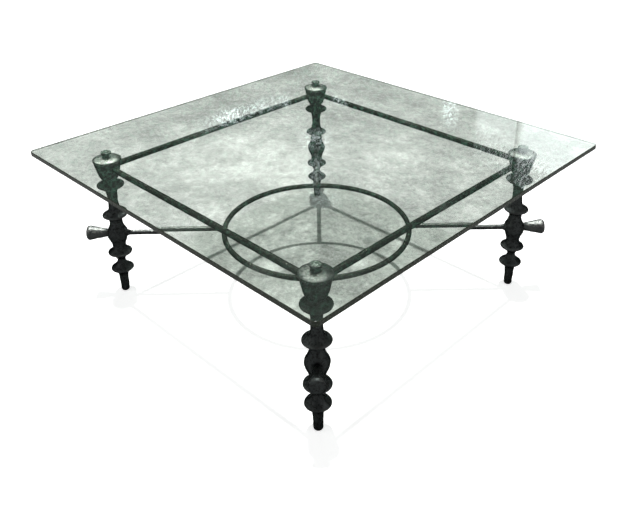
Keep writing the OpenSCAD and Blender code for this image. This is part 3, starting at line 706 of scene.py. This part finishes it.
def window_light():
    """Daylight through a window with bare twigs before it: plain and cool, with thin dark twigs
    that lean one way and grow denser towards the top."""
    finish, tree = blank_finish("Window light")
    place = add(tree, "ShaderNodeTexCoord").outputs["Object"]
    lean = add(tree, "ShaderNodeMapping", {
        "Vector": place, "Rotation": (0, -0.6, 0), "Scale": (0.017, 0.017, 0.09)}, vector_type="TEXTURE")
    twigs = add(tree, "ShaderNodeTexNoise", {
        "Vector": lean.outputs[0], "Scale": 1, "Detail": 4, "Roughness": 0.8})
    height = add(tree, "ShaderNodeSeparateXYZ", {"Vector": place}).outputs["Z"]
    dense = add(tree, "ShaderNodeMapRange", {0: height, 1: 1.80, 2: 2.08, 3: 0.0, 4: 0.2},
                interpolation_type="SMOOTHSTEP")
    level = add(tree, "ShaderNodeMath", {0: twigs.outputs["Fac"], 1: dense.outputs[0]}, operation="SUBTRACT")
    open_sky = add(tree, "ShaderNodeMapRange", {0: level.outputs[0], 1: 0.28, 2: 0.38, 3: 0.1, 4: 1.0})
    glow_only(tree, "#f0fafa", open_sky)
    return finish


def cards(name, rows, finish, falls):
    """Upright cards of 12 by 12 faces that only gloss sees. falls(across, upward) is a card's
    share of its strength at each point, both from -1 to 1."""
    cell = np.arange(CARD_POINTS * (CARD_POINTS - 1)).reshape(-1, CARD_POINTS)[:, :-1].reshape(-1, 1)
    card = np.hstack([cell, cell + 1, cell + CARD_POINTS + 1, cell + CARD_POINTS])
    steps = np.linspace(-1, 1, CARD_POINTS)
    across, upward = [part.ravel()[:, None] for part in np.meshgrid(steps, steps)]
    points, faces, fades = [], [], []
    for turn, far, along, high, wide, tall, lean, strength in rows:
        out = np.array([np.cos(np.radians(turn)), np.sin(np.radians(turn)), 0])
        level_way = np.array([-out[1], out[0], 0])
        faces.append(card + CARD_POINTS ** 2 * len(points))
        points.append(far * out + (along + across * wide) * level_way
                      + (high + across * wide * lean + upward * tall) * np.array([0, 0, 1.0]))
        fades.append(strength * falls(across, upward).ravel())
    mesh = bpy.data.meshes.new(name)
    mesh.from_pydata(np.vstack(points).tolist(), [], np.vstack(faces).tolist())
    fade = mesh.attributes.new("fade", "FLOAT", "POINT")
    fade.data.foreach_set("value", np.concatenate(fades).astype(np.float32))
    mesh.materials.append(finish)
    piece = stand(name, mesh)
    piece.visible_camera = piece.visible_diffuse = piece.visible_transmission = piece.visible_shadow = False


cards("leaves outside", LEAVES, leaf_light(),
      lambda across, upward: (1 - across ** 2) * (1 - upward ** 2))
cards("window outside", WINDOW, window_light(),
      lambda across, upward: np.clip((1 - across) / WINDOW_EDGE, 0, 1) + 0 * upward)

# The room round the studio: dim, paler behind the camera, and where the glass mirrors it, dark
# green leaves with small paler ones between them.
LEAF_DARK, LEAF_PALE = (0.004, 0.026, 0.014, 1), (0.105, 0.280, 0.190, 1)
world = bpy.data.worlds.new("studio")
bpy.context.scene.world = world
world.use_nodes = True
tree = world.node_tree
tree.nodes.clear()
way = add(tree, "ShaderNodeTexCoord").outputs["Generated"]
behind = add(tree, "ShaderNodeVectorMath", {0: way, 1: (0.68, -0.7, 0.2)}, operation="DOT_PRODUCT")
level = add(tree, "ShaderNodeMapRange", {0: behind.outputs["Value"], 1: -0.5, 2: 0.9, 3: 0.07, 4: 0.26})
leafy = add(tree, "ShaderNodeVectorMath", {0: way, 1: (-0.62, 0.65, 0.43)}, operation="DOT_PRODUCT")
green = add(tree, "ShaderNodeMapRange", {0: leafy.outputs["Value"], 1: 0.55, 2: 0.8, 3: 0.0, 4: 1.0})
leaf = add(tree, "ShaderNodeTexNoise", {"Vector": way, "Scale": 190, "Detail": 4, "Roughness": 0.75})
share = add(tree, "ShaderNodeMapRange", {0: leaf.outputs["Fac"], 1: 0.49, 2: 0.61, 3: 0.0, 4: 1.0})
shade = add(tree, "ShaderNodeMix", {"Factor": share.outputs[0], 6: LEAF_DARK, 7: LEAF_PALE},
            data_type="RGBA")
tint = add(tree, "ShaderNodeMix", {"Factor": green.outputs[0], 6: level.outputs[0], 7: shade.outputs[2]},
           data_type="RGBA")
room = add(tree, "ShaderNodeBackground", {"Color": tint.outputs[2], "Strength": 1.0})
add(tree, "ShaderNodeOutputWorld", {"Surface": room.outputs[0]})

# The camera stands where the photograph was taken from, found from the glass's corners, the beads
# and the ring: 1.23 m above the floor, looking down about 25 degrees at the front corner. Its focal
# length and the photograph's size and middle are in pixels.
PHOTO_W, PHOTO_H, FOCAL, MIDDLE_X, MIDDLE_Y = 640, 506, 738.68, 333.77, 168.12
CAMERA_AT, SENSOR = (1.2758, -1.2606, 1.2318), 36
compass, steep, roll = np.radians([43.806, 25.445, -0.224])
back = (np.sin(compass) * np.cos(steep), -np.cos(compass) * np.cos(steep), np.sin(steep))
camera = stand("camera", bpy.data.cameras.new("camera"))
camera.matrix_world = facing(CAMERA_AT, back, roll)
camera.data.sensor_width = SENSOR
camera.data.lens = FOCAL / PHOTO_W * SENSOR
camera.data.shift_x = (PHOTO_W / 2 - MIDDLE_X) / PHOTO_W
camera.data.shift_y = (MIDDLE_Y - PHOTO_H / 2) / PHOTO_W
bpy.context.scene.camera = camera
bpy.context.scene.view_settings.view_transform = "Standard"
